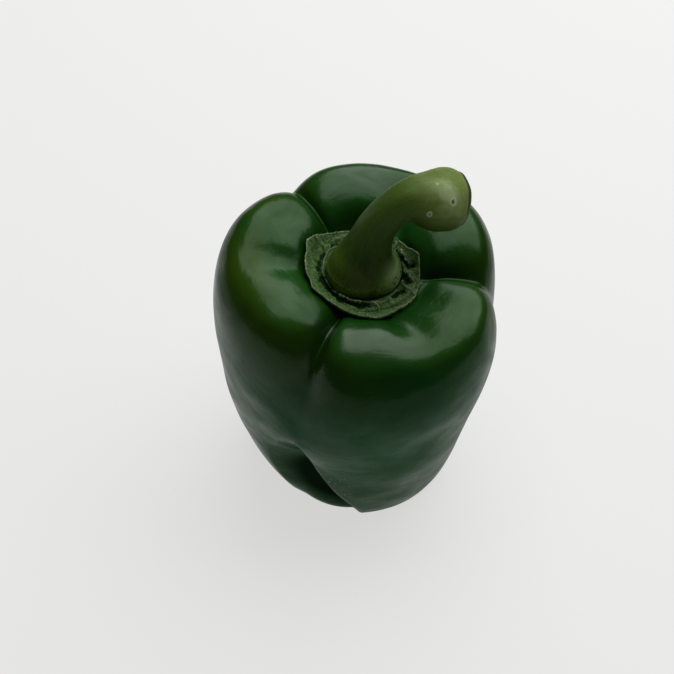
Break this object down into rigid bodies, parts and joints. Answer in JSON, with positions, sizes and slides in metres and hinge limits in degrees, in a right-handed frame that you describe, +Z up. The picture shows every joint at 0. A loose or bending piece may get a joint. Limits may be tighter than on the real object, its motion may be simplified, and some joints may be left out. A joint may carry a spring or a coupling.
{
  "type": "bell pepper",
  "caption": "Green bell pepper with three creased lobes around a sunken crown, a leathery calyx and a hooked, club-ended stem, standing on its lobe tips.",
  "frame": {"origin": "middle of the footprint of the whole pepper, on the surface that its lobe tips stand on", "axes": "+Z up through the crown, +X the way the stem hooks over, +Y towards the tallest lobe at the back"},
  "size_m": [0.0866, 0.0862, 0.1131],
  "materials": {
    "skin": "thin, waxy, glossy dark green fruit skin with faint olive patches on the shoulders",
    "calyx": "dry, leathery pale green collar, crinkled, with a torn edge, folds and a thin raised lip round the stem",
    "stem": "fleshy, satin yellow-green stalk with fine lengthwise streaks, dark speckles at its foot and a few pale corky spots"
  },
  "bodies": {
    "root": {"fruit": "skin", "calyx": "calyx", "stem": "stem"}
  },
  "joints": []
}
